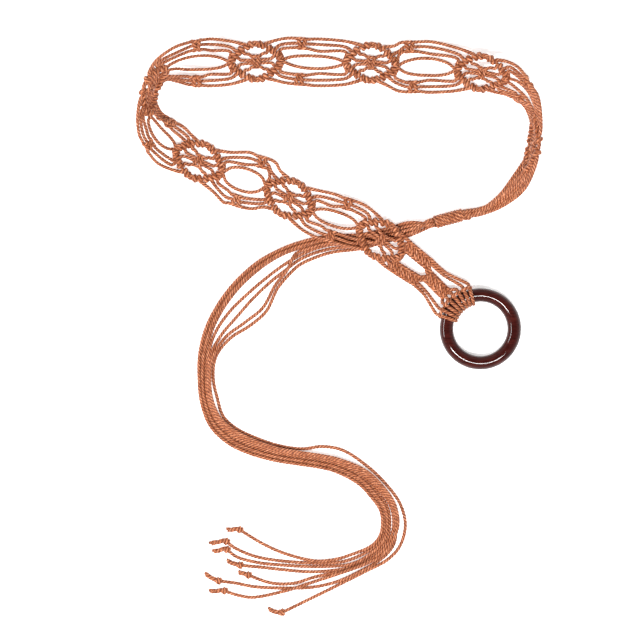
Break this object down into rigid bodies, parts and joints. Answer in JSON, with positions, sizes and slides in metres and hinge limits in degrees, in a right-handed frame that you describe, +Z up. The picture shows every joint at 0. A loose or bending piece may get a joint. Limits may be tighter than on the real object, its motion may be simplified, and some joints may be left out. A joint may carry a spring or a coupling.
{
  "type": "tassel belt",
  "caption": "Knotted cord belt: an open band of knotted diamonds with a wooden ring at one end and a wrapped collar with a long cord tassel at the other.",
  "frame": {"origin": "under the middle of the whole belt, on the surface it lies on", "axes": "+Z up off the surface, +Y from the tassel's ends to the straight run of the band, +X to the ring"},
  "size_m": [0.3468, 0.4974, 0.0404],
  "materials": {
    "ring": "polished dark lacquer",
    "cord": "waxed twisted cord"
  },
  "bodies": {
    "root": {"ring": "ring", "ring_hitch_1": "cord", "ring_hitch_2": "cord", "ring_hitch_3": "cord", "ring_hitch_4": "cord", "sennit_center": "cord", "sennit_right": "cord", "sennit_left": "cord", "diamond_1": "cord", "diamond_2": "cord", "diamond_3": "cord", "diamond_4": "cord", "diamond_5": "cord", "diamond_6": "cord", "diamond_7": "cord", "diamond_8": "cord", "side_knot_1_outer": "cord", "side_knot_1_inner": "cord", "side_knot_2_outer": "cord", "side_knot_2_inner": "cord", "side_knot_3_outer": "cord", "side_knot_3_inner": "cord", "side_knot_4_outer": "cord", "side_knot_4_inner": "cord", "side_knot_5_outer": "cord", "side_knot_5_inner": "cord", "side_knot_6_outer": "cord", "side_knot_6_inner": "cord", "side_knot_7_outer": "cord", "side_knot_7_inner": "cord", "tassel": "cord"}
  },
  "joints": []
}
